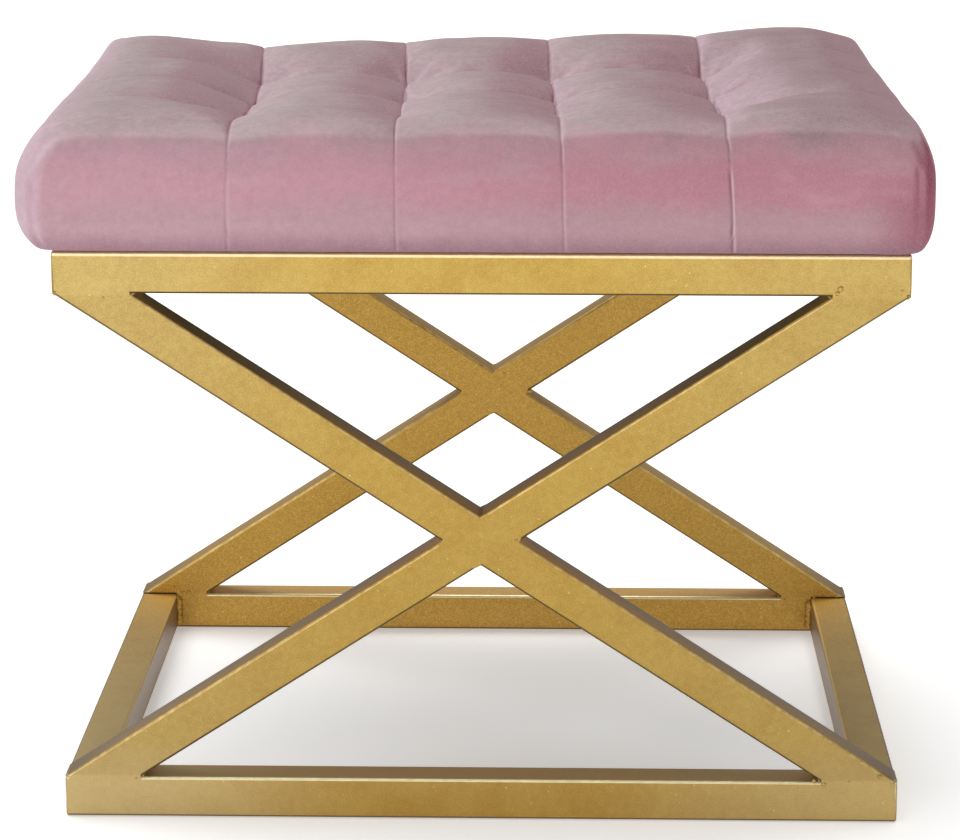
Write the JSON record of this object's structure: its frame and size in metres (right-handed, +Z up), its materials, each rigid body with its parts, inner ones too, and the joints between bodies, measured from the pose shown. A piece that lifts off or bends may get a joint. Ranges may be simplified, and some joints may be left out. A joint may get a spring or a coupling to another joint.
{
  "type": "x frame stool",
  "caption": "Low stool: crossed legs of square steel tube between an upper and a lower ring of rails, with a blind-tufted velvet seat on a plywood board.",
  "frame": {"origin": "on the floor, under the middle of the stool", "axes": "+X to the right along the long side, +Y to the rear, +Z up; the front X frame faces -Y"},
  "size_m": [0.53, 0.452, 0.427],
  "materials": {
    "gold_powder_coat": "fine metallic flake in a satin gold powder coat",
    "pink_velvet": "short-pile velvet, dusty pink, pale and greyish where the pile catches the light",
    "foam": "open-cell upholstery foam",
    "plywood": "unfinished plywood",
    "dust_cloth": "black spun-bonded cloth",
    "zinc_steel": "bright zinc plate",
    "twine": "waxed upholstery twine",
    "nylon": "moulded nylon"
  },
  "bodies": {
    "root": {"front_top_rail": "gold_powder_coat", "front_bottom_rail": "gold_powder_coat", "front_long_diagonal": "gold_powder_coat", "front_upper_half_diagonal": "gold_powder_coat", "front_lower_half_diagonal": "gold_powder_coat", "rear_top_rail": "gold_powder_coat", "rear_bottom_rail": "gold_powder_coat", "rear_long_diagonal": "gold_powder_coat", "rear_upper_half_diagonal": "gold_powder_coat", "rear_lower_half_diagonal": "gold_powder_coat", "left_top_rail": "gold_powder_coat", "left_bottom_rail": "gold_powder_coat", "right_top_rail": "gold_powder_coat", "right_bottom_rail": "gold_powder_coat", "front_left_top_weld": "gold_powder_coat", "front_left_bottom_weld": "gold_powder_coat", "rear_left_top_weld": "gold_powder_coat", "rear_left_bottom_weld": "gold_powder_coat", "front_right_top_weld": "gold_powder_coat", "front_right_bottom_weld": "gold_powder_coat", "rear_right_top_weld": "gold_powder_coat", "rear_right_bottom_weld": "gold_powder_coat", "dust_cover": "dust_cloth", "seat_board": "plywood", "foam_block": "foam", "velvet_cover": "pink_velvet", "tuft_twine_01": "twine", "tuft_twine_02": "twine", "tuft_twine_03": "twine", "tuft_twine_04": "twine", "tuft_twine_05": "twine", "tuft_twine_06": "twine", "tuft_twine_07": "twine", "tuft_twine_08": "twine", "tuft_twine_09": "twine", "tuft_twine_10": "twine", "tuft_twine_11": "twine", "tuft_twine_12": "twine", "twine_toggle_01": "nylon", "twine_toggle_02": "nylon", "twine_toggle_03": "nylon", "twine_toggle_04": "nylon", "twine_toggle_05": "nylon", "twine_toggle_06": "nylon", "twine_toggle_07": "nylon", "twine_toggle_08": "nylon", "twine_toggle_09": "nylon", "twine_toggle_10": "nylon", "twine_toggle_11": "nylon", "twine_toggle_12": "nylon", "front_left_seat_bolt": "zinc_steel", "front_right_seat_bolt": "zinc_steel", "rear_left_seat_bolt": "zinc_steel", "rear_right_seat_bolt": "zinc_steel", "front_left_t_nut": "zinc_steel", "front_right_t_nut": "zinc_steel", "rear_left_t_nut": "zinc_steel", "rear_right_t_nut": "zinc_steel"}
  },
  "joints": []
}
